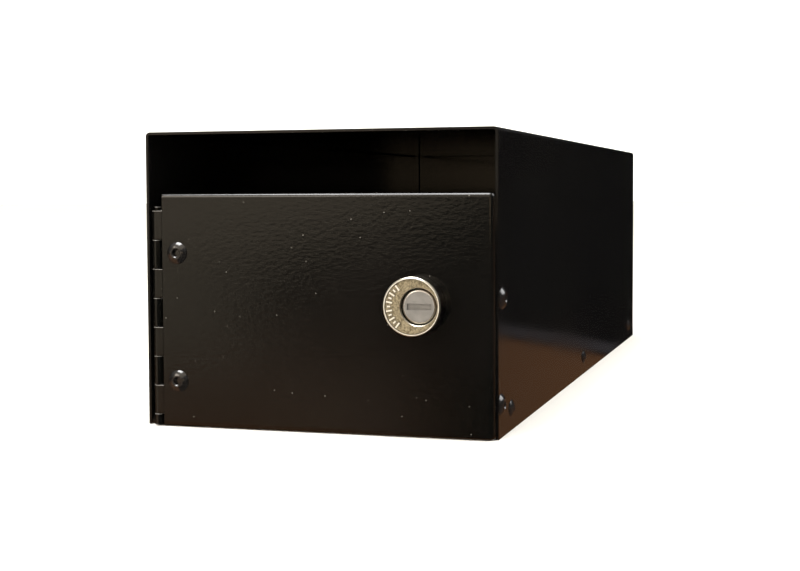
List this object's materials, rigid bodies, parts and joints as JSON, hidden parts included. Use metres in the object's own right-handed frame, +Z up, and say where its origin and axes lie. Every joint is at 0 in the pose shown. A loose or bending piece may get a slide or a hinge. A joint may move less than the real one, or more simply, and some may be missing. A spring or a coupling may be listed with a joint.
{
  "type": "parcel drop box",
  "caption": "Long folded-steel drop box with an open parcel slot over a piano-hinged door and an eccentric cam lock.",
  "frame": {"origin": "middle of the base, on the plane the box stands on", "axes": "+Z up; the door and the slot face -Y; the hinge is at -X and the lock towards +X"},
  "size_m": [0.1612, 0.4454, 0.1285],
  "materials": {
    "cabinet_paint": "glossy black powder coat with fine orange peel",
    "door_paint": "satin-gloss black powder coat with fine orange peel",
    "hinge_paint": "satin black paint",
    "screw_black": "glossy black coated steel",
    "rivet_black": "glossy black painted rivets",
    "zinc_steel": "zinc-plated steel",
    "lock_casting": "cast zinc, grainy bronze-grey plating worn bright on the rim",
    "plug_zinc": "satin plated zinc",
    "wafer_brass": "stamped brass"
  },
  "bodies": {
    "cabinet": {"shell": "cabinet_paint", "floor_tray": "cabinet_paint", "back_panel": "cabinet_paint", "hinge_frame_leaf": "hinge_paint", "hinge_pin": "hinge_paint", "hinge_spacer": "cabinet_paint", "strike_bracket": "cabinet_paint", "hinge_screws": "screw_black", "hinge_nuts": "zinc_steel", "strike_screws": "screw_black", "strike_nuts": "zinc_steel", "floor_rivets": "rivet_black"},
    "door": {"door_panel": "door_paint", "hinge_door_leaf": "hinge_paint", "door_screws": "screw_black", "door_washers": "zinc_steel", "door_nuts": "zinc_steel", "lock_housing": "lock_casting", "lock_washer": "zinc_steel", "lock_nut": "zinc_steel"},
    "lock_core": {"lock_plug": "plug_zinc", "lock_wafers": "wafer_brass", "stop_washer": "zinc_steel", "lock_cam": "zinc_steel", "cam_washer": "zinc_steel", "cam_screw": "zinc_steel"},
    "shutter": {"key_shutter": "plug_zinc"}
  },
  "joints": [
    {"name": "door_hinge", "type": "hinge", "parent": "cabinet", "child": "door", "pos_m": [-0.0727, -0.218, 0.0475], "axis": [0, 0, -1], "range_deg": [0, 150]},
    {"name": "lock_turn", "type": "hinge", "parent": "door", "child": "lock_core", "pos_m": [0.0487, -0.22, 0.0553], "axis": [0, -1, 0], "range_deg": [0, 90]},
    {"name": "shutter_flap", "type": "hinge", "parent": "lock_core", "child": "shutter", "pos_m": [0.0487, -0.22695, 0.057], "axis": [1, 0, 0], "range_deg": [0, 80], "stiffness_Nm_per_rad": 0.0004, "springref_deg": -17.19}
  ]
}
